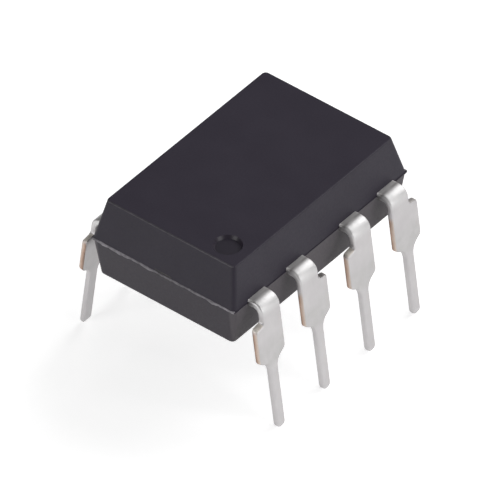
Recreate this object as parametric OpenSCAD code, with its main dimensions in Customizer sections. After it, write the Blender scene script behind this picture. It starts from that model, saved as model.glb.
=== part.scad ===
// Dual in-line package with eight leads, moulded round a stamped and formed lead frame.
// X runs across the two rows, Y along them and Z up; the lead tips stand on Z = 0.
// Lead 1 is the front lead of the +X row, and the numbers go round anticlockwise from above.

/* [Moulded body] */
// Length of the body at the parting plane, along the rows
body_len = 9.66; // [9.3:0.01:12]
// Width of the body at the parting plane, across the rows
body_wid = 6.4; // [6:0.01:7.6]
// Height of the upper half, from the parting plane to the top face
upper_h = 1.66; // [1.4:0.01:2.2]
// Height of the lower half, from the parting plane to the underside
lower_h = 1.61; // [1.3:0.01:2]
// Draft of the upper half's long sides
upper_side_draft = 11.1; // [3:0.1:14]
// Draft of the upper half's two ends
upper_end_draft = 13.7; // [3:0.1:16]
// Draft of the lower half's long sides
lower_side_draft = 7.2; // [3:0.1:14]
// Draft of the lower half's two ends
lower_end_draft = 6.2; // [3:0.1:14]
// Radius of the four upright corners
corner_r = 0.18; // [0.05:0.01:0.35]
// How far the flash stands out along the parting line
flash_out = 0.02; // [0.01:0.005:0.04]
// Thickness of that flash
flash_t = 0.04; // [0.02:0.01:0.08]
// Radius of the flash's own corners, which are sharper than the body's
flash_corner_r = 0.08; // [0.04:0.01:0.35]

/* [Marks in the body] */
// Radius of the lead-one dimple at the top face
dimple_r = 0.53; // [0.35:0.01:0.7]
// Depth of the dimple
dimple_depth = 0.12; // [0.05:0.01:0.3]
// How far the dimple's wall leans in, from its rim to its floor
dimple_wall = 0.08; // [0:0.01:0.15]
// Centre of the dimple from the top face's long edge
dimple_from_side = 0.94; // [0.8:0.01:1.2]
// Centre of the dimple from the top face's front edge
dimple_from_end = 0.81; // [0.71:0.01:1.2]
// Radius of the ejector pin's mark in the underside
mark_r = 0.9; // [0.5:0.01:1.5]
// Depth of that mark
mark_depth = 0.06; // [0.02:0.01:0.15]

/* [Leads outside the body] */
// Distance between neighbouring leads of a row
pitch = 2.54; // [2:0.01:2.7]
// Drop from the parting plane to the lead tips
lead_drop = 5.26; // [4.4:0.01:6.5]
// Thickness of the lead frame's strip
lead_t = 0.23; // [0.2:0.01:0.36]
// Flat run of a lead between the body's side and its bend
stub_len = 0.23; // [0.15:0.01:0.5]
// Radius inside the bend
bend_r = 0.21; // [0.1:0.01:0.4]
// Angle by which the legs spread out from upright
splay = 7.5; // [0.5:0.1:15]
// Width of the neck that leaves the body
neck_wid = 0.89; // [0.7:0.01:1.1]
// How far the neck's middle lies beside the lead's pitch line
neck_shift = 0.21; // [0:0.01:0.24]
// Drop from the parting plane to the ledge where the dam bar was cut
ledge_drop = 0.62; // [0.5:0.01:0.9]
// Width of the shoulder below the ledge
shoulder_wid = 1.32; // [1.1:0.01:1.6]
// Drop from the parting plane to the shoulder's lower edge
shoulder_drop = 2.22; // [1.6:0.01:2.8]
// Radius of the hollow that runs the shoulder into the tip
hollow_r = 0.55; // [0.2:0.01:0.6]
// Width of the tip that goes into the board
tip_wid = 0.33; // [0.3:0.01:0.5]
// Radius of the tip's two corners
tip_corner_r = 0.13; // [0.03:0.01:0.14]

/* [Lead frame inside the body] */
// Depth of the wide root that locks each lead into the moulding
root_depth = 1; // [0.7:0.01:1.3]
// Radius of the hole in each root
root_hole_r = 0.2; // [0.1:0.01:0.3]
// Width of the fingers that run in towards the die
finger_wid = 0.55; // [0.3:0.01:0.65]
// Gap between the fingers and the die pad
finger_gap = 0.3; // [0.15:0.01:0.4]
// Width of the die pad, across the rows
pad_wid = 2.6; // [2:0.01:3.1]
// Length of the die pad, along the rows
pad_len = 3.4; // [2.8:0.01:3.9]
// Width of the tie bars that held the pad until the moulding
tie_wid = 0.75; // [0.4:0.01:0.9]
// How far the pad is pressed down below the leads
downset = 0.2; // [0.1:0.01:0.35]
// Length over which a tie bar slopes down to the pad
slope_len = 0.5; // [0.3:0.01:0.8]

/* [Die] */
// Width of the die, across the rows
die_wid = 1.5; // [1:0.01:2]
// Length of the die, along the rows
die_len = 2; // [1.4:0.01:2.5]
// Thickness of the die
die_t = 0.28; // [0.2:0.01:0.4]
// Thickness of the bonding layer under the die
attach_t = 0.04; // [0.02:0.01:0.06]
// How far that layer shows round the die
attach_rim = 0.1; // [0.02:0.01:0.2]

/* [Bond wires] */
// Radius of the wire
wire_r = 0.0165; // [0.0125:0.0005:0.03]
// Radius of the ball on the die
ball_r = 0.045; // [0.035:0.001:0.06]
// Height of the ball
ball_h = 0.02; // [0.01:0.001:0.04]
// Height of the wire's loop over the straight line between its two bonds
loop_height = 0.3; // [0.2:0.01:0.5]
// Distance of a bond from the edges of the die
bond_inset = 0.12; // [0.08:0.01:0.2]
// Distance of a bond from the end of its finger
stitch_inset = 0.25; // [0.1:0.01:0.3]

/* [Hidden] */
per_row = 4;
lead_count = 2 * per_row;
last_slot = (per_row - 1) / 2;
$fn = 64;

EPOXY = [0.22, 0.21, 0.23];
TIN = [0.78, 0.77, 0.77];
COPPER = [0.72, 0.48, 0.36];
SILVER_PASTE = [0.7, 0.7, 0.72];
SILICON = [0.34, 0.36, 0.42];
GOLD = [0.85, 0.66, 0.25];

// Margin by which a cutting shape passes the surface that it cuts
over = 1;
// Length by which outlines drawn one after the other run into each other
lap = 0.05;
// Degrees by which a wire's arc passes its bonds before it is trimmed to them
arc_margin = 4;

// The parting plane is the zero of every height from here to the end of the section
half_wid = body_wid / 2;
half_len = body_len / 2;
top_half_wid = half_wid - upper_h * tan(upper_side_draft);
top_half_len = half_len - upper_h * tan(upper_end_draft);
frame_top = lead_t / 2;
bend_x = half_wid + stub_len;
bend_z = -frame_top - bend_r;
root_x = half_wid - root_depth;
pad_top = frame_top - downset;
die_bottom = pad_top + attach_t;
die_top = die_bottom + die_t;
row_tip_x = pad_wid / 2 + finger_gap;
end_tip_y = -pad_len / 2 - finger_gap;
end_tip_x = tie_wid / 2 + finger_gap;

// Length along the leg's inner face, from the end of the bend to a drop below the parting plane
function along(drop) = (drop + bend_z + bend_r * sin(splay)) / cos(splay);

// Middle of a lead, and of its neck: k is 0 for the end lead and 1 for its neighbour
function lead_y(k) = (k - last_slot) * pitch;
function neck_y(k) = lead_y(k) + (k == 0 ? neck_shift : -neck_shift);

// Places a shape drawn for the front half of the +X row as number n of the eight
module in_place(n) {
    slot = (n - 1) % per_row;
    turn = n > per_row ? 180 : 0;
    translate([0, 0, lead_drop]) rotate([0, 0, turn])
        if (slot > last_slot) mirror([0, 1, 0]) children();
        else children();
}

// 1 for the second lead from either end of a row, 0 for the end leads
function kind_of(n) = abs((n - 1) % per_row - last_slot) < 1 ? 1 : 0;

// One half of the body with its base on the parting plane, drafted on all four sides
module drafted_half(h, side_draft, end_draft) {
    in_x = h * tan(side_draft);
    in_y = h * tan(end_draft);
    difference() {
        intersection() {
            rotate([90, 0, 0]) linear_extrude(body_len + 2 * over, center = true)
                polygon([[-half_wid, 0], [half_wid, 0], [half_wid - in_x, h], [in_x - half_wid, h]]);
            rotate([90, 0, 90]) linear_extrude(body_wid + 2 * over, center = true)
                polygon([[-half_len, 0], [half_len, 0], [half_len - in_y, h], [in_y - half_len, h]]);
        }
        for (mx = [0, 1], my = [0, 1])
            flip_x(mx) flip_y(my) corner_cut(h, side_draft, end_draft);
    }
}

module flip_x(yes) {
    if (yes == 1) mirror([1, 0, 0]) children();
    else children();
}

module flip_y(yes) {
    if (yes == 1) mirror([0, 1, 0]) children();
    else children();
}

// What rounds the leaning edge between a side and an end: a wedge less a cylinder along the edge
module corner_cut(h, side_draft, end_draft) {
    edge = [-h * tan(side_draft), -h * tan(end_draft), h];
    lean = acos(h / norm(edge));
    heading = atan2(edge.y, edge.x);
    across = [cos(heading) * cos(lean), sin(heading) * cos(lean), -sin(lean)];
    aside = [-sin(heading), cos(heading), 0];
    side_normal = [cos(side_draft), 0, sin(side_draft)];
    end_normal = [0, cos(end_draft), sin(end_draft)];
    to_side = 2 * corner_r * [side_normal * across, side_normal * aside];
    to_end = 2 * corner_r * [end_normal * across, end_normal * aside];
    translate([half_wid - corner_r / cos(side_draft), half_len - corner_r / cos(end_draft), 0])
        rotate([0, lean, heading]) translate([0, 0, -over])
            linear_extrude(norm(edge) + 2 * over) difference() {
                polygon([[0, 0], to_side, to_side + to_end, to_end]);
                circle(corner_r);
            }
}

// Thin rim of epoxy that crept between the two mould halves
module flash() {
    wid = body_wid + 2 * flash_out;
    length = body_len + 2 * flash_out;
    linear_extrude(flash_t, center = true) difference() {
        square([wid, length], center = true);
        for (mx = [0, 1], my = [0, 1]) flip_x(mx) flip_y(my)
            translate([wid / 2 - flash_corner_r, length / 2 - flash_corner_r]) difference() {
                square(2 * flash_corner_r);
                circle(flash_corner_r);
            }
    }
}

// The body's outer form, with its parting plane at zero
module body_form() {
    flash();
    drafted_half(upper_h, upper_side_draft, upper_end_draft);
    mirror([0, 0, 1]) drafted_half(lower_h, lower_side_draft, lower_end_draft);
}

// Shallow dish beside lead 1: the cone passes the top face at dimple_r
module dimple() {
    translate([top_half_wid - dimple_from_side, dimple_from_end - top_half_len, upper_h - dimple_depth])
        cylinder(h = 2 * dimple_depth, r1 = dimple_r - dimple_wall, r2 = dimple_r + dimple_wall);
}

// Round witness of the ejector pin in the underside
module ejector_mark() {
    translate([0, 0, -lower_h - over]) cylinder(h = over + mark_depth, r = mark_r);
}

// Black epoxy moulded in one shot round everything that it holds
module moulded_body() {
    color(EPOXY) difference() {
        translate([0, 0, lead_drop]) difference() {
            body_form();
            dimple();
            ejector_mark();
        }
        for (n = [1 : lead_count]) {
            lead(n);
            bond_wire(n);
        }
        die_pad();
        die_attach();
        die();
    }
}

// Outline of a leg from in front: x is the way along the row and y = 0 is the end of the bend
module leg_outline(k) {
    ledge = along(ledge_drop);
    shoulder_end = along(shoulder_drop);
    tip_end = along(lead_drop);
    translate([neck_y(k) - neck_wid / 2, -ledge - lap]) square([neck_wid, ledge + lap]);
    translate([lead_y(k), 0]) {
        translate([-shoulder_wid / 2, -shoulder_end]) square([shoulder_wid, shoulder_end - ledge]);
        translate([0, -shoulder_end]) hollows();
        translate([0, -tip_end]) tip(tip_end - shoulder_end);
    }
}

// The flare under the shoulder, no wider than the shoulder, with a hollow on each side
module hollows() {
    reach = tip_wid / 2 + hollow_r;
    flare = min(reach, shoulder_wid / 2);
    difference() {
        translate([-flare, -hollow_r]) square([2 * flare, hollow_r + lap]);
        for (side = [-1, 1]) translate([side * reach, -hollow_r]) circle(hollow_r);
    }
}

// The narrow tip, with its end on y = 0 and its two corners rounded
module tip(length) {
    corner = tip_wid / 2 - tip_corner_r;
    difference() {
        translate([-tip_wid / 2, 0]) square([tip_wid, length]);
        for (side = [-1, 1]) difference() {
            translate([side * tip_wid / 2 - tip_corner_r, -tip_corner_r]) square(2 * tip_corner_r);
            translate([side * corner, tip_corner_r]) circle(tip_corner_r);
            translate([-corner, -tip_corner_r]) square([2 * corner, 3 * tip_corner_r]);
        }
    }
}

// Outline of a lead from above, from its finger's end out past its bend
module inner_outline(k) {
    y = neck_y(k);
    neck_edge = neck_wid / 2;
    bend_reach = bend_r + lead_t + over;
    difference() {
        union() {
            translate([root_x, y - neck_edge]) square([root_depth + stub_len + bend_reach, neck_wid]);
            if (k == 0)
                polygon([
                    [root_x + lap, y - neck_edge], [root_x + lap, y + neck_edge], [root_x, y + neck_edge],
                    [end_tip_x + finger_wid, end_tip_y], [end_tip_x, end_tip_y],
                    [end_tip_x, end_tip_y - finger_wid], [root_x, y - neck_edge]
                ]);
            else
                translate([row_tip_x, y - finger_wid / 2])
                    square([root_x - row_tip_x + lap, finger_wid]);
        }
        translate([root_x + root_depth / 2, y]) circle(root_hole_r);
    }
}

// Region under a surface that runs level, turns down round the bend's centre and follows the leg
module under_bend(r) {
    far = 2 * (body_wid + lead_drop);
    translate([bend_x, bend_z]) {
        circle(r);
        translate([-far, -far]) square([far, far + r]);
        rotate(splay) translate([-far, -far]) square([far + r, far]);
    }
}

// One lead: the strip bent to its side view, then trimmed to its outlines from above and in front
module lead_form(k) {
    outer_r = bend_r + lead_t;
    intersection() {
        rotate([90, 0, 0]) linear_extrude(half_len) difference() {
            under_bend(outer_r);
            under_bend(bend_r);
        }
        union() {
            translate([0, 0, bend_z]) linear_extrude(outer_r + over) inner_outline(k);
            translate([bend_x, 0, bend_z]) rotate([0, -splay, 0]) translate([bend_r / 2, 0, 0])
                rotate([90, 0, 90]) linear_extrude(outer_r) leg_outline(k);
        }
    }
}

module lead(n) {
    color(TIN) in_place(n) lead_form(kind_of(n));
}

// One tie bar seen from the side: level, down the slope and level again into the pad
module tie_profile() {
    from = half_len + flash_out;
    slope_start = pad_len / 2 + slope_len;
    line = [[from, 0], [slope_start, 0], [pad_len / 2, -downset], [0, -downset]];
    back = [for (i = [len(line) - 1 : -1 : 0]) line[i]];
    polygon(concat(
        [for (p = line) [p.x, p.y + frame_top]],
        [for (p = back) [p.x, p.y - frame_top]]
    ));
}

// The pad under the die, with its two tie bars sheared off level with the flash
module die_pad() {
    color(COPPER) translate([0, 0, lead_drop]) {
        translate([-pad_wid / 2, -pad_len / 2, pad_top - lead_t]) cube([pad_wid, pad_len, lead_t]);
        for (turn = [0, 180])
            rotate([0, 0, turn]) rotate([90, 0, 90])
                linear_extrude(tie_wid, center = true) tie_profile();
    }
}

// Silver-filled layer that bonds the die to its pad
module die_attach() {
    wid = die_wid + 2 * attach_rim;
    length = die_len + 2 * attach_rim;
    color(SILVER_PASTE) translate([-wid / 2, -length / 2, lead_drop + pad_top])
        cube([wid, length, attach_t]);
}

module die() {
    color(SILICON) translate([-die_wid / 2, -die_len / 2, lead_drop + die_bottom])
        cube([die_wid, die_len, die_t]);
}

// Where a wire leaves the die, and where it lands on its finger
function bond_at(k) = k == 0
    ? [die_wid / 2 - 2 * bond_inset, bond_inset - die_len / 2]
    : [die_wid / 2 - bond_inset, -die_len / 4];
function stitch_at(k) = k == 0
    ? [end_tip_x + finger_wid / 2, end_tip_y - stitch_inset]
    : [row_tip_x + stitch_inset, neck_y(1)];

// One wire in its own upright plane: a ball on the die and an arc from it down to the finger
module wire_form(k) {
    from = bond_at(k);
    run = stitch_at(k) - from;
    reach = norm(run);
    fall = die_top - frame_top;
    chord = norm([reach, fall]);
    arc_r = (pow(chord / 2, 2) + pow(loop_height, 2)) / (2 * loop_height);
    half_angle = asin(chord / 2 / arc_r) + arc_margin;
    translate([from.x, from.y, die_top]) rotate([0, 0, atan2(run.y, run.x)]) {
        cylinder(h = ball_h, r = ball_r);
        intersection() {
            rotate([0, atan2(fall, reach), 0]) translate([chord / 2, 0, loop_height - arc_r])
                rotate([0, half_angle - 90, 0]) rotate([90, 0, 0])
                    rotate_extrude(angle = 2 * half_angle) translate([arc_r, 0]) circle(wire_r);
            rotate([90, 0, 0]) linear_extrude(4 * wire_r, center = true)
                polygon([
                    [-over, 0], [reach / 2, 0], [reach / 2, -fall],
                    [reach + over, -fall], [reach + over, over], [-over, over]
                ]);
        }
    }
}

module bond_wire(n) {
    color(GOLD) in_place(n) wire_form(kind_of(n));
}

moulded_body();
die_pad();
die_attach();
die();
for (n = [1 : lead_count]) {
    lead(n);
    bond_wire(n);
}
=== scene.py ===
import bmesh
import bpy
from math import atan, cos, radians, sin, sqrt
from mathutils import Matrix, Vector, noise


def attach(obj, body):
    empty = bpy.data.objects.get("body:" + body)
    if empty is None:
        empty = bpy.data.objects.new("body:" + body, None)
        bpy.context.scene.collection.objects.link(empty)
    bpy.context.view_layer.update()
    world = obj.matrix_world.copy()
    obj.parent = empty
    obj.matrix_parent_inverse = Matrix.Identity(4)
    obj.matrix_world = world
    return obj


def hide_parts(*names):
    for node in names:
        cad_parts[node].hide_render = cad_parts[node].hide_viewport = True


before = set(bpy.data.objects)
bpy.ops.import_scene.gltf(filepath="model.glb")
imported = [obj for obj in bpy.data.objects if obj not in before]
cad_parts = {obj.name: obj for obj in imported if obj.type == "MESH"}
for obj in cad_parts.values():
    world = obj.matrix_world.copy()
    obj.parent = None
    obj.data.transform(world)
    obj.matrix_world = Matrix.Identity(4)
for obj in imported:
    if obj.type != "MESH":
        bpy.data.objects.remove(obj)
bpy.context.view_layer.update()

# Moulded body
# One shot of black epoxy, pressed hot into two drafted mould halves round the lead frame.
# Spark-eroded mould steel left it a dull, even grain; only the dimple's wall is smoother, and painted
# a little lighter for the light it catches.
mm = 0.001
hair = 0.001 * mm
body_width = 6.4 * mm
body_length = 9.66 * mm
parting_height = 5.26 * mm
body_top = 6.92 * mm
body_bottom = 3.65 * mm
body_edge_round = 0.042 * mm
dimple_centre = Vector((1.855, -3.615, 6.92)) * mm
dimple_reach = 0.7 * mm
underside_mark_reach = 1.2 * mm
rim_left = 0.005 * mm
# Where the painted edge highlight lies: the top band near the two ends.
highlight_band = 0.06 * mm
highlight_reach = 0.6 * mm
epoxy_colour = (0.0175, 0.0133, 0.0245, 1)
epoxy_pale = (0.0205, 0.016, 0.028, 1)
# Painted light: the top face gets its own lighter, more purple colour for the light it catches.
top_lit_colour = (0.0235, 0.018, 0.0325, 1)
top_lit_pale = (0.0268, 0.021, 0.0362, 1)
# Painted light: below the parting line the epoxy is paler, and paler still on the long sides, for the
# light the white floor throws up.
lower_half_lit_colour = (0.0305, 0.0252, 0.0342, 1)
lower_side_lit_colour = (0.073, 0.064, 0.073, 1)
# Painted light: the dimple's wall is a little paler, for the bright arcs it catches.
dimple_wall_lit = (0.027, 0.022, 0.033, 1)
dimple_wall_lit_pale = (0.034, 0.028, 0.04, 1)
# Painted highlight: the rounded top edges at the two ends are paler, in patches, for the light line
# along them.
edge_highlight_colour = (0.032, 0.028, 0.037, 1)
edge_highlight_bright = (0.06, 0.054, 0.066, 1)


def new_finish(name):
    material = bpy.data.materials.new(name)
    material.use_nodes = True
    surface = material.node_tree.nodes["Principled BSDF"]
    place = material.node_tree.nodes.new("ShaderNodeTexCoord")
    return material, surface, place.outputs["Object"]


def spots(material, place, per_mm, detail=2.0, stretch=(1, 1, 1)):
    tree = material.node_tree
    mapping = tree.nodes.new("ShaderNodeMapping")
    mapping.inputs["Scale"].default_value = stretch
    tree.links.new(place, mapping.inputs["Vector"])
    texture = tree.nodes.new("ShaderNodeTexNoise")
    texture.inputs["Scale"].default_value = per_mm / mm
    texture.inputs["Detail"].default_value = detail
    tree.links.new(mapping.outputs["Vector"], texture.inputs["Vector"])
    return texture.outputs["Fac"]


def ramp(material, value, start, end, low=0.0, high=1.0):
    tree = material.node_tree
    node = tree.nodes.new("ShaderNodeMapRange")
    node.inputs["From Min"].default_value = start
    node.inputs["From Max"].default_value = end
    node.inputs["To Min"].default_value = low
    node.inputs["To Max"].default_value = high
    tree.links.new(value, node.inputs["Value"])
    return node.outputs["Result"]


def blend_colours(material, share, first, second):
    tree = material.node_tree
    node = tree.nodes.new("ShaderNodeMix")
    node.data_type = "RGBA"
    tree.links.new(share, node.inputs["Factor"])
    for value, socket in ((first, node.inputs[6]), (second, node.inputs[7])):
        if isinstance(value, tuple):
            socket.default_value = value
        else:
            tree.links.new(value, socket)
    return node.outputs[2]


def raise_grain(material, surface, height, strength, depth):
    tree = material.node_tree
    node = tree.nodes.new("ShaderNodeBump")
    node.inputs["Strength"].default_value = strength
    node.inputs["Distance"].default_value = depth
    tree.links.new(height, node.inputs["Height"])
    tree.links.new(node.outputs["Normal"], surface.inputs["Normal"])


def reckon(material, operation, *values):
    node = material.node_tree.nodes.new("ShaderNodeMath")
    node.operation = operation
    for value, socket in zip(values, node.inputs):
        if isinstance(value, (int, float)):
            socket.default_value = value
        else:
            material.node_tree.links.new(value, socket)
    return node.outputs[0]


def split_place(material, place, axis):
    split = material.node_tree.nodes.new("ShaderNodeSeparateXYZ")
    material.node_tree.links.new(place, split.inputs[0])
    return split.outputs[axis]


epoxy, surface, place = new_finish("black_epoxy")
clouds = ramp(epoxy, spots(epoxy, place, 0.7), 0.35, 0.65)
height = split_place(epoxy, place, "Z")
below = ramp(epoxy, height, parting_height + 0.01 * mm, parting_height - 0.01 * mm)
at_side = ramp(
    epoxy, reckon(epoxy, "ABSOLUTE", split_place(epoxy, place, "X")), 2.9 * mm, 3 * mm)
upper_tone = blend_colours(epoxy, clouds, epoxy_colour, epoxy_pale)
# Painted light: near the top the epoxy blends into the lighter top colour.
lit_top_tone = blend_colours(epoxy, clouds, top_lit_colour, top_lit_pale)
upper_tone = blend_colours(
    epoxy, ramp(epoxy, height, body_top - 0.03 * mm, body_top), upper_tone, lit_top_tone)
# Painted light: the lower half, and more so its long sides, is paler for the floor's light.
lower_lit_tone = blend_colours(epoxy, at_side, lower_half_lit_colour, lower_side_lit_colour)
epoxy.node_tree.links.new(
    blend_colours(epoxy, below, upper_tone, lower_lit_tone), surface.inputs["Base Color"])
epoxy.node_tree.links.new(
    ramp(epoxy, spots(epoxy, place, 14), 0.3, 0.7, 0.5, 0.6), surface.inputs["Roughness"])
surface.inputs["Specular IOR Level"].default_value = 0.36
raise_grain(epoxy, surface, spots(epoxy, place, 28, 3), 0.25, 0.004 * mm)

# The dimple's wall is smoother; its paler colour is painted light for the arcs it catches.
polished_lit_epoxy, surface, place = new_finish("polished_lit_epoxy")
polished_lit_epoxy.node_tree.links.new(
    blend_colours(
        polished_lit_epoxy, spots(polished_lit_epoxy, place, 3), dimple_wall_lit, dimple_wall_lit_pale),
    surface.inputs["Base Color"])
surface.inputs["Roughness"].default_value = 0.36
surface.inputs["Specular IOR Level"].default_value = 0.26
raise_grain(polished_lit_epoxy, surface, spots(polished_lit_epoxy, place, 28, 3), 0.15, 0.003 * mm)

# Painted highlight on the end faces' rounded top edges; the paler patches are also a little glossier.
highlit_edge_epoxy, surface, place = new_finish("highlit_edge_epoxy")
highlight_and_gloss_patches = ramp(highlit_edge_epoxy, spots(highlit_edge_epoxy, place, 2.5, 3), 0.35, 0.6)
highlit_edge_epoxy.node_tree.links.new(
    blend_colours(highlit_edge_epoxy, highlight_and_gloss_patches, edge_highlight_colour, edge_highlight_bright),
    surface.inputs["Base Color"])
highlit_edge_epoxy.node_tree.links.new(
    ramp(highlit_edge_epoxy, highlight_and_gloss_patches, 0, 1, 0.5, 0.4), surface.inputs["Roughness"])
raise_grain(highlit_edge_epoxy, surface, spots(highlit_edge_epoxy, place, 28, 3), 0.25, 0.004 * mm)


def merged_copy(node, nearest=0.0002 * mm):
    shape = bmesh.new()
    shape.from_mesh(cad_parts[node].data)
    bmesh.ops.remove_doubles(shape, verts=shape.verts, dist=nearest)
    bmesh.ops.dissolve_limit(
        shape, angle_limit=radians(0.5), verts=shape.verts, edges=shape.edges)
    return shape


def finish_piece(shape, name, materials):
    mesh = bpy.data.meshes.new(name)
    shape.to_mesh(mesh)
    shape.free()
    for material in materials:
        mesh.materials.append(material)
    mesh.shade_smooth()
    mesh.set_sharp_from_angle(angle=radians(32))
    piece = bpy.data.objects.new(name, mesh)
    bpy.context.scene.collection.objects.link(piece)
    weighted = piece.modifiers.new("even_faces", "WEIGHTED_NORMAL")
    weighted.keep_sharp = True
    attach(piece, "root")
    return piece


def is_turned(edge, angle):
    return edge.is_manifold and edge.calc_face_angle() > radians(angle)


def round_edges(shape, edges, radius, segments):
    bmesh.ops.bevel(
        shape, geom=edges, offset=radius, offset_type="OFFSET", segments=segments,
        profile=0.5, affect="EDGES", clamp_overlap=False, material=-1)


shape = merged_copy("moulded_body")
for vertex in shape.verts:
    if abs(vertex.co.y) > body_length / 2 + rim_left:
        vertex.co.y *= (body_length / 2 + rim_left) / abs(vertex.co.y)
top_rim = [
    edge for edge in shape.edges
    if is_turned(edge, 30) and all(v.co.z > body_top - 10 * hair for v in edge.verts)
    and (edge.verts[0].co - dimple_centre).length > dimple_reach]
bottom_rim = [
    edge for edge in shape.edges
    if is_turned(edge, 30) and all(v.co.z < body_bottom + 10 * hair for v in edge.verts)
    and edge.verts[0].co.xy.length > underside_mark_reach]
round_edges(shape, top_rim + bottom_rim, body_edge_round, 3)
body_materials = [epoxy, highlit_edge_epoxy, polished_lit_epoxy]
for face in shape.faces:
    middle = face.calc_center_median()
    leans_to_end = abs(face.normal.y) > abs(face.normal.x)
    at_end = middle.z > body_top - highlight_band and abs(middle.y) > body_length / 2 - highlight_reach
    if 0.3 < abs(face.normal.z) < 0.99 and leans_to_end and at_end:
        face.material_index = body_materials.index(highlit_edge_epoxy)
    if 0.1 < abs(face.normal.z) < 0.9 and (middle - dimple_centre).length < dimple_reach:
        face.material_index = body_materials.index(polished_lit_epoxy)
package = finish_piece(shape, "package", body_materials)
for face in package.data.polygons:
    face.use_smooth = abs(face.normal.z) < 0.9999
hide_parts("moulded_body")

# Flash along the parting line
# The rim of epoxy that crept between the mould halves, pale and ragged where it was broken off.
# It is heaviest at the two ends, and in a few places it ran down a little.
flash_out = 0.02 * mm
flash_up = 0.036 * mm
flash_up_change = 0.014 * mm
flash_down = 0.058 * mm
flash_down_change = 0.04 * mm
flash_cuts = 180
flash_pale = (0.34, 0.32, 0.35, 1)
flash_worn = (0.06, 0.055, 0.064, 1)

ragged_epoxy, surface, place = new_finish("ragged_epoxy")
bright_parts = ragged_epoxy.node_tree.nodes.new("ShaderNodeValToRGB")
ragged_epoxy.node_tree.links.new(
    ramp(ragged_epoxy, split_place(ragged_epoxy, place, "X"), -body_width / 2, body_width / 2),
    bright_parts.inputs[0])
stops = bright_parts.color_ramp.elements
stops[0].position = 0.0
stops[0].color = (0.25, 0.25, 0.25, 1)
stops[1].position = 1.0
stops[1].color = (1, 1, 1, 1)
for position, level in (
        (0.04, 0.6), (0.07, 0.95), (0.13, 0.7), (0.2, 0.75), (0.3, 0.6), (0.4, 0.5),
        (0.47, 0.35), (0.6, 0.35), (0.75, 0.5), (0.84, 0.6), (0.9, 0.8), (0.95, 1)):
    stop = stops.new(position)
    stop.color = (level, level, level, 1)
crumbs = ramp(ragged_epoxy, spots(ragged_epoxy, place, 5, 3), 0.36, 0.6, 0.35, 1)
paleness = reckon(ragged_epoxy, "MULTIPLY", crumbs, bright_parts.outputs[0])
ragged_epoxy.node_tree.links.new(
    blend_colours(ragged_epoxy, paleness, flash_worn, flash_pale), surface.inputs["Base Color"])
surface.inputs["Roughness"].default_value = 0.5
raise_grain(ragged_epoxy, surface, spots(ragged_epoxy, place, 16, 3), 0.4, 0.006 * mm)


def end_flash(name, side, runs):
    shape = bmesh.new()
    bmesh.ops.create_cube(shape, size=1)
    long_edges = [e for e in shape.edges if abs(e.verts[0].co.x - e.verts[1].co.x) > 0.5]
    bmesh.ops.subdivide_edges(shape, edges=long_edges, cuts=flash_cuts, use_grid_fill=True)
    front_edges = [
        e for e in shape.edges
        if abs(e.verts[0].co.z - e.verts[1].co.z) > 0.5 and e.verts[0].co.y * side > 0]
    bmesh.ops.subdivide_edges(shape, edges=front_edges, cuts=3, use_grid_fill=True)
    for vertex in shape.verts:
        x = vertex.co.x * (body_width - 0.04 * mm)
        where = Vector((x * 2.4 / mm, side * 7, 0))
        ragged = noise.noise(where) + 0.7 * noise.noise(where * 3.3)
        up = flash_up + flash_up_change * noise.noise(where * 1.9 + Vector((0, 0, 4)))
        down = flash_down + flash_down_change * ragged
        for middle, width, depth in runs:
            near = max(0.0, 1 - ((x - middle) / width) ** 2)
            down += depth * near * (0.8 + 0.4 * noise.noise(where * 2))
        level = vertex.co.z + 0.5
        height = level * up - (1 - level) * down
        if vertex.co.y * side < 0:
            reach = body_length / 2 - 0.06 * mm
        elif 0.1 < level < 0.9:
            reach = body_length / 2 + flash_out * min(1, 0.78 + 0.2 * noise.noise(where * 2.6))
        else:
            reach = body_length / 2 - 0.004 * mm
        vertex.co = Vector((x, side * reach, parting_height + height))
    bmesh.ops.recalc_face_normals(shape, faces=shape.faces)
    finish_piece(shape, name, [ragged_epoxy])


end_flash("flash_front", -1, (
    (-2.62 * mm, 0.25 * mm, 0.04 * mm), (-1.95 * mm, 0.42 * mm, 0.075 * mm),
    (-0.75 * mm, 0.3 * mm, 0.04 * mm), (2.15 * mm, 0.16 * mm, 0.06 * mm)))
end_flash("flash_back", 1, ((1.1 * mm, 0.3 * mm, 0.05 * mm), (-2.2 * mm, 0.2 * mm, 0.04 * mm)))

# Leads
# Copper strip, stamped to shape, tin-plated, cut free of the dam bar and bent down over an anvil.
# The tin is matte; the faces that the shear cut after plating show copper through smeared tin.
outer_edge_round = 0.08 * mm
inner_edge_round = 0.028 * mm
tin_colour = (0.545, 0.53, 0.534, 1)
tin_dull = (0.512, 0.497, 0.502, 1)
# Painted highlight: paler tin over the bends, where they catch the light.
tin_bend_highlight = (0.605, 0.597, 0.597, 1)
# A darker, patchy band across the middle of the legs.
tin_mid_leg_dark = (0.49, 0.48, 0.478, 1)
# Painted reflection: the stub tops are darker, as if mirroring the black body.
stub_body_reflection = (0.39, 0.381, 0.379, 1)
# Painted reflection: a dark streak across each stub, for the body mirrored where the bend begins.
reflected_body_streak = (0.3, 0.29, 0.288, 1)
reflection_streak_place = 3.37 * mm
# Ledge tops on the back side of the leads: darker towards the front of the part, paler towards the
# back.
back_ledge_dark = (0.04, 0.034, 0.032, 1)
back_ledge_pale = (0.36, 0.34, 0.33, 1)
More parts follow.
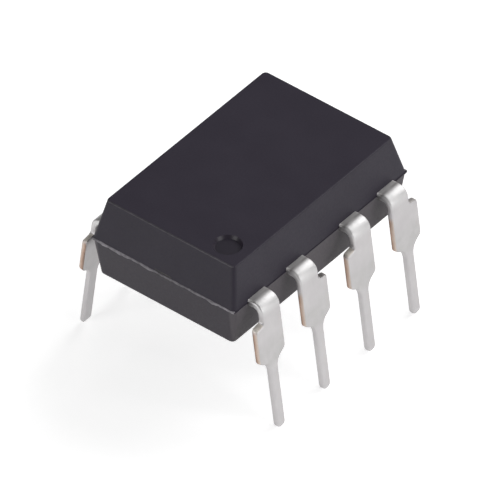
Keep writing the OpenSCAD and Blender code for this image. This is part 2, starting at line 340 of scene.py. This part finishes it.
# Painted highlight: the torn front ledge tops are pale cream for the light they catch.
ledge_highlight_pale = (0.74, 0.7, 0.645, 1)
ledge_highlight_dull = (0.58, 0.535, 0.49, 1)
lead_pitch = 2.54 * mm
lead_thickness = 0.232 * mm
lead_widening = 0.035 * mm
ledge_height = parting_height - 0.62 * mm
ledge_droop = 0.06 * mm
ledge_rollover = 0.09 * mm
ledge_wear = 0.03 * mm
shoulder_height = parting_height - 2.22 * mm
shoulder_rise = 0.05 * mm
shoulder_corner_round = 0.11 * mm
neck_out = body_width / 2 - 0.05 * mm
nose_length = 0.26 * mm
nose_flat = 0.06 * mm
nose_corner = 0.18 * mm
nose_least = 0.06
nose_squeeze = 0.85
nose_cuts = (0.012, 0.03, 0.055, 0.085, 0.12, 0.165, 0.21, 0.26)
leg_cuts = (0.95, 1.75, 3.1, 3.9)
near_ledge = 0.06 * mm
near_shoulder = 0.1 * mm
splay_slope = 0.1317
inner_plane = 3.5994 * mm + parting_height * splay_slope

tin, surface, place = new_finish("matte_tin")
patches = ramp(tin, spots(tin, place, 1.3, 3), 0.35, 0.7)
plated = blend_colours(tin, patches, tin_colour, tin_dull)
tin_height = split_place(tin, place, "Z")
tin_outward = reckon(tin, "ABSOLUTE", split_place(tin, place, "X"))
# Painted highlight: the tin turns paler over the bends, up to the body.
plated = blend_colours(
    tin, ramp(tin, tin_height, parting_height - 0.38 * mm, parting_height - 0.12 * mm),
    plated, tin_bend_highlight)
# Darker, patchy band across the middle of each leg.
mid_leg_band = reckon(
    tin, "MULTIPLY", ramp(tin, tin_height, parting_height - 1.2 * mm, parting_height - 1.7 * mm),
    ramp(tin, tin_height, parting_height - 2.6 * mm, parting_height - 2.3 * mm))
plated = blend_colours(
    tin, reckon(tin, "MULTIPLY", mid_leg_band, ramp(tin, spots(tin, place, 3, 3), 0.35, 0.6, 0.4, 1)),
    plated, tin_mid_leg_dark)
# Painted reflection: darker stub tops beside the body, for the black body they mirror.
on_stub = reckon(
    tin, "MULTIPLY", ramp(tin, tin_outward, 3.5 * mm, 3.36 * mm),
    ramp(tin, tin_height, parting_height + 0.03 * mm, parting_height + 0.09 * mm))
plated = blend_colours(tin, on_stub, plated, stub_body_reflection)
# Painted reflection: a dark streak across the stub where the bend begins, for the mirrored body.
from_reflection_streak = reckon(tin, "ABSOLUTE", reckon(tin, "SUBTRACT", tin_outward, reflection_streak_place))
reflection_streaked = reckon(
    tin, "MULTIPLY", ramp(tin, from_reflection_streak, 0.07 * mm, 0.02 * mm),
    ramp(tin, spots(tin, place, 3, 2, (1, 0.5, 1)), 0.4, 0.55))
reflection_streaked = reckon(
    tin, "MULTIPLY", reflection_streaked,
    ramp(tin, tin_height, parting_height + 0.06 * mm, parting_height + 0.09 * mm))
tin.node_tree.links.new(
    blend_colours(tin, reflection_streaked, plated, reflected_body_streak), surface.inputs["Base Color"])
tin.node_tree.links.new(
    ramp(tin, spots(tin, place, 9, 3, (1, 1, 0.25)), 0.3, 0.7, 0.48, 0.54),
    surface.inputs["Roughness"])
surface.inputs["Metallic"].default_value = 1
raise_grain(tin, surface, spots(tin, place, 30, 3, (1, 1, 0.3)), 0.15, 0.002 * mm)

sheared, surface, place = new_finish("sheared_copper")
outward = reckon(sheared, "ABSOLUTE", split_place(sheared, place, "X"))
through = reckon(
    sheared, "MULTIPLY_ADD", split_place(sheared, place, "Z"), splay_slope, outward)
torn = reckon(
    sheared, "MULTIPLY_ADD", spots(sheared, place, 3.5, 3, (1, 1, 0.6)), 0.5,
    ramp(sheared, through, inner_plane, inner_plane + lead_thickness, -0.2, 0.68))
layers = sheared.node_tree.nodes.new("ShaderNodeValToRGB")
sheared.node_tree.links.new(torn, layers.inputs[0])
stops = layers.color_ramp.elements
stops[0].position = 0.0
stops[0].color = (0.18, 0.135, 0.11, 1)
stops[1].position = 1.0
stops[1].color = (0.58, 0.53, 0.49, 1)
for position, colour in (
        (0.2, (0.32, 0.23, 0.185, 1)), (0.38, (0.46, 0.325, 0.255, 1)),
        (0.56, (0.53, 0.42, 0.355, 1)), (0.75, (0.55, 0.47, 0.42, 1))):
    stop = stops.new(position)
    stop.color = colour
smeared_over = ramp(
    sheared, reckon(sheared, "MULTIPLY_ADD", spots(sheared, place, 4, 2), 0.2 * mm,
                    split_place(sheared, place, "Z")),
    parting_height - 0.82 * mm, parting_height - 0.55 * mm)
sheared.node_tree.links.new(
    blend_colours(sheared, smeared_over, layers.outputs[0], tin_colour),
    surface.inputs["Base Color"])
sheared.node_tree.links.new(
    ramp(sheared, spots(sheared, place, 12, 3), 0.3, 0.7, 0.45, 0.6), surface.inputs["Roughness"])
surface.inputs["Metallic"].default_value = 1
raise_grain(sheared, surface, spots(sheared, place, 26, 3, (1, 1, 0.2)), 0.35, 0.005 * mm)

# Back-side ledge tops: darker towards the front of the part, paler towards the back, with random
# patches.
back_ledge, surface, place = new_finish("back_ledge_tone")
nearer = ramp(back_ledge, split_place(back_ledge, place, "Y"), -0.8 * mm, 2.6 * mm)
smudged = ramp(back_ledge, spots(back_ledge, place, 5, 3), 0.35, 0.65, 0, 0.5)
back_ledge.node_tree.links.new(
    blend_colours(back_ledge, reckon(back_ledge, "ADD", nearer, smudged), back_ledge_dark, back_ledge_pale),
    surface.inputs["Base Color"])
surface.inputs["Metallic"].default_value = 0.3
surface.inputs["Roughness"].default_value = 0.55
raise_grain(back_ledge, surface, spots(back_ledge, place, 14, 3), 0.4, 0.006 * mm)

# Front ledge tops: torn metal, with a pale cream colour that is painted highlight.
torn_ledge_highlight, surface, place = new_finish("torn_ledge_highlight")
torn_ledge_highlight.node_tree.links.new(
    blend_colours(torn_ledge_highlight, ramp(torn_ledge_highlight, spots(torn_ledge_highlight, place, 5, 3), 0.35, 0.65),
                  ledge_highlight_pale, ledge_highlight_dull),
    surface.inputs["Base Color"])
surface.inputs["Metallic"].default_value = 0.4
surface.inputs["Roughness"].default_value = 0.6
raise_grain(torn_ledge_highlight, surface, spots(torn_ledge_highlight, place, 14, 3), 0.4, 0.006 * mm)


def pitch_place(number):
    if number < 5:
        return (number - 2.5) * lead_pitch
    return (6.5 - number) * lead_pitch


def faces_out(face, side):
    if face.normal.x * side > 0.5:
        return True
    return face.normal.z > 0.5 and face.calc_center_median().z > parting_height - 0.35 * mm


def runs_through(edge, margin=hair):
    return abs(edge.verts[0].co.y - edge.verts[1].co.y) < margin


def lies_outside(edge, margin=0):
    return all(abs(vertex.co.x) > neck_out - margin for vertex in edge.verts)


def cut_across(shape, point, direction):
    bmesh.ops.bisect_plane(
        shape, geom=shape.verts[:] + shape.edges[:] + shape.faces[:], dist=hair,
        plane_co=point, plane_no=direction)


def narrowing(distance, length):
    short = max(0, 1 - distance / length)
    return sqrt(max(nose_least, 1 - short * short))


splay = atan(splay_slope)
lead_materials = [tin, sheared, back_ledge, torn_ledge_highlight]
for number in range(1, 9):
    side = 1 if number < 5 else -1
    middle_y = pitch_place(number)
    down_lead = Vector((side * sin(splay), 0, -cos(splay)))
    through_lead = Vector((side * cos(splay), 0, sin(splay)))
    shape = merged_copy(f"lead_{number}", 0.006 * mm)
    stray_splits = [
        edge for edge in shape.edges if edge.calc_length() > 1 * mm and not is_turned(edge, 2)]
    bmesh.ops.dissolve_edges(shape, edges=stray_splits, use_verts=False)
    for place_x in (neck_out - 0.03 * mm, neck_out):
        cut_across(shape, Vector((side * place_x, 0, 0)), Vector((1, 0, 0)))
    for vertex in shape.verts:
        if abs(vertex.co.x) > neck_out - hair:
            vertex.co.y += lead_widening * (1 if vertex.co.y > middle_y else -1)
    ledge_corners = [
        edge for edge in shape.edges
        if is_turned(edge, 80) and runs_through(edge, 10 * hair) and lies_outside(edge)
        and all(abs(v.co.z - ledge_height) < near_ledge for v in edge.verts)]
    ledge_corners.sort(key=lambda edge: abs(edge.verts[0].co.y - middle_y))
    faces_front = ledge_corners[1].verts[0].co.y < middle_y
    for vertex in ledge_corners[1].verts:
        vertex.co += down_lead * ledge_droop
    for edge in ledge_corners:
        outer = max(edge.verts, key=lambda vertex: abs(vertex.co.x))
        outer.co += down_lead * (ledge_rollover if faces_front else ledge_wear)
    outer_corner = [
        edge for edge in shape.edges
        if is_turned(edge, 70) and runs_through(edge, 10 * hair) and lies_outside(edge)
        and all(ledge_height - 0.25 * mm < v.co.z < ledge_height + 0.04 * mm for v in edge.verts)]
    round_edges(shape, outer_corner, shoulder_corner_round, 5)
    beside_corners = [
        edge for edge in shape.edges
        if runs_through(edge)
        and all(abs(v.co.z - shoulder_height) < near_shoulder
                and 0.45 * mm < abs(v.co.y - middle_y) < 0.66 * mm for v in edge.verts)]
    bmesh.ops.dissolve_edges(shape, edges=beside_corners, use_verts=True)
    lower_corners = [
        edge for edge in shape.edges
        if is_turned(edge, 60) and runs_through(edge)
        and all(abs(v.co.z - shoulder_height) < near_shoulder for v in edge.verts)]
    for vertex in {vertex for edge in lower_corners for vertex in edge.verts}:
        vertex.co -= down_lead * shoulder_rise
    round_edges(shape, lower_corners, shoulder_corner_round, 4)
    for face in shape.faces:
        middle = face.calc_center_median()
        if abs(middle.x) > neck_out and shoulder_height < middle.z < ledge_height:
            if abs(face.normal.y) > 0.9:
                face.material_index = lead_materials.index(sheared)
            if face.normal.z > 0.5:
                face.material_index = lead_materials.index(torn_ledge_highlight if faces_front else back_ledge)
    long_edges = [
        edge for edge in shape.edges
        if is_turned(edge, 35) and lies_outside(edge, hair)
        and not all(abs(abs(v.co.x) - neck_out) < hair for v in edge.verts)]
    rolled = [e for e in long_edges if any(faces_out(face, side) for face in e.link_faces)]
    burred = [e for e in long_edges if not any(faces_out(face, side) for face in e.link_faces)]
    round_edges(shape, rolled, outer_edge_round, 4)
    round_edges(shape, [edge for edge in burred if edge.is_valid], inner_edge_round, 2)
    for drop in leg_cuts:
        cut_across(shape, Vector((0, 0, parting_height - drop * mm)), Vector((0, 0, 1)))
    lowest = max(vertex.co.dot(down_lead) for vertex in shape.verts)
    for back in nose_cuts:
        cut_across(shape, down_lead * (lowest - back * mm), down_lead)
    nose = [v for v in shape.verts if v.co.dot(down_lead) > lowest - nose_length]
    outermost = max(v.co.dot(through_lead) for v in nose)
    for vertex in nose:
        up_lead = lowest - vertex.co.dot(down_lead)
        depth = outermost - nose_flat - vertex.co.dot(through_lead)
        vertex.co -= through_lead * depth * (narrowing(up_lead, nose_length) - 1)
        beside = vertex.co.y - middle_y
        vertex.co.y += beside * nose_squeeze * (narrowing(up_lead, nose_corner) - 1)
    pin = finish_piece(shape, f"pin_{number}", lead_materials)
    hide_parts(f"lead_{number}")

# Die pad and its tie bars
# The middle of the same copper strip, bare, pressed down a little so that the die sits in the middle.
# The tie bars were sheared off at the ends of the body after moulding, where they are dull and grey.
tie_end = body_length / 2 - 0.05 * mm
tie_proud = 0.002 * mm
upper_end_lean = 0.244
lower_end_lean = 0.109
copper_colour = (0.58, 0.32, 0.2, 1)
copper_stain = (0.42, 0.22, 0.14, 1)
tie_dark = (0.022, 0.019, 0.023, 1)
tie_grey = (0.045, 0.039, 0.042, 1)

bare_copper, surface, place = new_finish("bare_copper")
stains = ramp(bare_copper, spots(bare_copper, place, 2.2, 3), 0.4, 0.7)
copper_tone = blend_colours(bare_copper, stains, copper_colour, copper_stain)
distance = reckon(bare_copper, "ABSOLUTE", split_place(bare_copper, place, "Y"))
cut_end = ramp(bare_copper, distance, tie_end, tie_end + 0.01 * mm)
end_tone = blend_colours(
    bare_copper, ramp(bare_copper, spots(bare_copper, place, 9, 3), 0.4, 0.6),
    tie_dark, tie_grey)
bare_copper.node_tree.links.new(
    blend_colours(bare_copper, cut_end, copper_tone, end_tone), surface.inputs["Base Color"])
bare_copper.node_tree.links.new(
    ramp(bare_copper, cut_end, 0, 1, 1, 0.2), surface.inputs["Metallic"])
bare_copper.node_tree.links.new(
    ramp(bare_copper, spots(bare_copper, place, 10), 0.3, 0.7, 0.4, 0.55),
    surface.inputs["Roughness"])
raise_grain(bare_copper, surface, spots(bare_copper, place, 20, 2, (1, 0.1, 1)), 0.2, 0.003 * mm)

shape = merged_copy("die_pad")
for vertex in shape.verts:
    if abs(vertex.co.y) > body_length / 2:
        lean = upper_end_lean if vertex.co.z > parting_height else lower_end_lean
        sheared_at = body_length / 2 - lean * abs(vertex.co.z - parting_height) + tie_proud
        vertex.co.y *= sheared_at / abs(vertex.co.y)
pad = finish_piece(shape, "frame_pad", [bare_copper])
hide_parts("die_pad")

# Bonding layer under the die
# Silver-filled paste, squeezed out a little round the die and cured in an oven.
paste, surface, place = new_finish("silver_paste")
flakes = ramp(paste, spots(paste, place, 16, 2), 0.4, 0.65)
paste.node_tree.links.new(
    blend_colours(paste, flakes, (0.45, 0.45, 0.46, 1), (0.6, 0.6, 0.61, 1)),
    surface.inputs["Base Color"])
surface.inputs["Metallic"].default_value = 0.6
surface.inputs["Roughness"].default_value = 0.55
raise_grain(paste, surface, spots(paste, place, 12, 3), 0.4, 0.006 * mm)


def dress(node, material):
    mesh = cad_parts[node].data
    mesh.materials.clear()
    mesh.materials.append(material)


dress("die_attach", paste)

# Die
# A sawn chip of silicon, polished below and covered above by its glassy protective layer.
silicon, surface, place = new_finish("silicon")
tint = ramp(silicon, spots(silicon, place, 1.5, 1), 0.3, 0.7)
silicon.node_tree.links.new(
    blend_colours(silicon, tint, (0.12, 0.13, 0.16, 1), (0.16, 0.14, 0.2, 1)),
    surface.inputs["Base Color"])
surface.inputs["Metallic"].default_value = 0.8
silicon.node_tree.links.new(
    ramp(silicon, spots(silicon, place, 20, 2), 0.3, 0.7, 0.12, 0.25), surface.inputs["Roughness"])
raise_grain(silicon, surface, spots(silicon, place, 24, 2), 0.1, 0.001 * mm)
dress("die", silicon)

# Bond wires
# Fine gold wire, balled on the die by a spark, looped over and stitched to the finger of its lead.
gold, surface, place = new_finish("gold_wire")
gold.node_tree.links.new(
    blend_colours(gold, ramp(gold, spots(gold, place, 9, 2), 0.35, 0.65),
                  (0.83, 0.6, 0.2, 1), (0.74, 0.5, 0.15, 1)),
    surface.inputs["Base Color"])
surface.inputs["Metallic"].default_value = 1
gold.node_tree.links.new(
    ramp(gold, spots(gold, place, 30, 2), 0.3, 0.7, 0.22, 0.34), surface.inputs["Roughness"])
raise_grain(gold, surface, spots(gold, place, 60, 2), 0.1, 0.001 * mm)
for number in range(1, 9):
    dress(f"bond_wire_{number}", gold)

# Floor
# Plain pale board that the lead tips stand on; it looks white and keeps the part's shadow.
floor_reach = 1.5
shape = bmesh.new()
bmesh.ops.create_grid(shape, x_segments=1, y_segments=1, size=floor_reach)
mesh = bpy.data.meshes.new("floor")
shape.to_mesh(mesh)
shape.free()
floor = bpy.data.objects.new("floor", mesh)
bpy.context.scene.collection.objects.link(floor)
board = bpy.data.materials.new("pale_board")
board.use_nodes = True
tree = board.node_tree
tree.nodes.clear()
paint = tree.nodes.new("ShaderNodeBsdfDiffuse")
paint.inputs["Color"].default_value = (0.8, 0.8, 0.8, 1)
lift = tree.nodes.new("ShaderNodeEmission")
lift.inputs["Strength"].default_value = 0.62
both = tree.nodes.new("ShaderNodeAddShader")
tree.links.new(paint.outputs[0], both.inputs[0])
tree.links.new(lift.outputs[0], both.inputs[1])
light_path = tree.nodes.new("ShaderNodeLightPath").outputs
seen_or_mirrored = reckon(
    board, "MAXIMUM", light_path["Is Camera Ray"], light_path["Is Glossy Ray"])
lifted = reckon(board, "MAXIMUM", seen_or_mirrored, light_path["Is Transmission Ray"])
choice = tree.nodes.new("ShaderNodeMixShader")
tree.links.new(lifted, choice.inputs[0])
tree.links.new(paint.outputs[0], choice.inputs[1])
tree.links.new(both.outputs[0], choice.inputs[2])
output = tree.nodes.new("ShaderNodeOutputMaterial")
tree.links.new(choice.outputs[0], output.inputs["Surface"])
mesh.materials.append(board)

# Light
# A dim white room with soft boxes low at the right and the left, and higher at the back.
lamp_target = Vector((0, 0, 4)) * mm

world = bpy.data.worlds.new("room")
world.use_nodes = True
bpy.context.scene.world = world
tree = world.node_tree
tree.nodes.clear()
dim = tree.nodes.new("ShaderNodeBackground")
dim.inputs["Color"].default_value = (1, 1, 1, 1)
dim.inputs["Strength"].default_value = 0.15
white = tree.nodes.new("ShaderNodeBackground")
white.inputs["Color"].default_value = (1, 1, 1, 1)
white.inputs["Strength"].default_value = 1
light_path = tree.nodes.new("ShaderNodeLightPath").outputs
choice = tree.nodes.new("ShaderNodeMixShader")
tree.links.new(light_path["Is Camera Ray"], choice.inputs[0])
tree.links.new(dim.outputs[0], choice.inputs[1])
tree.links.new(white.outputs[0], choice.inputs[2])
output = tree.nodes.new("ShaderNodeOutputWorld")
tree.links.new(choice.outputs[0], output.inputs["Surface"])


def aimed_at(target, turn, rise, distance):
    level = cos(radians(rise))
    away = Vector((level * cos(radians(turn)), level * sin(radians(turn)), sin(radians(rise))))
    facing = (-away).to_track_quat("-Z", "Y").to_matrix().to_4x4()
    return Matrix.Translation(target + away * distance) @ facing


def soft_box(name, turn, rise, distance, size, power):
    light = bpy.data.lights.new(name, "AREA")
    light.shape = "SQUARE"
    light.size = size
    light.energy = power
    lamp = bpy.data.objects.new(name, light)
    lamp.matrix_world = aimed_at(lamp_target, turn, rise, distance)
    bpy.context.scene.collection.objects.link(lamp)


soft_box("right", 8, 22, 0.5, 0.28, 0.95)
soft_box("left", -105, 21, 0.5, 0.26, 0.85)
soft_box("back", 78, 40, 0.5, 0.4, 1.6)

# Camera
# A long lens nearly half a metre away at the front right, 41 degrees up.
camera_target = Vector((0.806, -0.997, 4.26)) * mm
camera_turn = -51.1
camera_rise = 41.373
camera_distance = 0.469326
camera_roll = -0.121
focal_length_in_widths = 26.854

lens = bpy.data.cameras.new("camera")
lens.sensor_width = 36
lens.lens = focal_length_in_widths * lens.sensor_width
camera = bpy.data.objects.new("camera", lens)
camera.matrix_world = (
    aimed_at(camera_target, camera_turn, camera_rise, camera_distance)
    @ Matrix.Rotation(radians(camera_roll), 4, "Z"))
bpy.context.scene.collection.objects.link(camera)
bpy.context.scene.camera = camera
bpy.context.scene.view_settings.view_transform = "Standard"
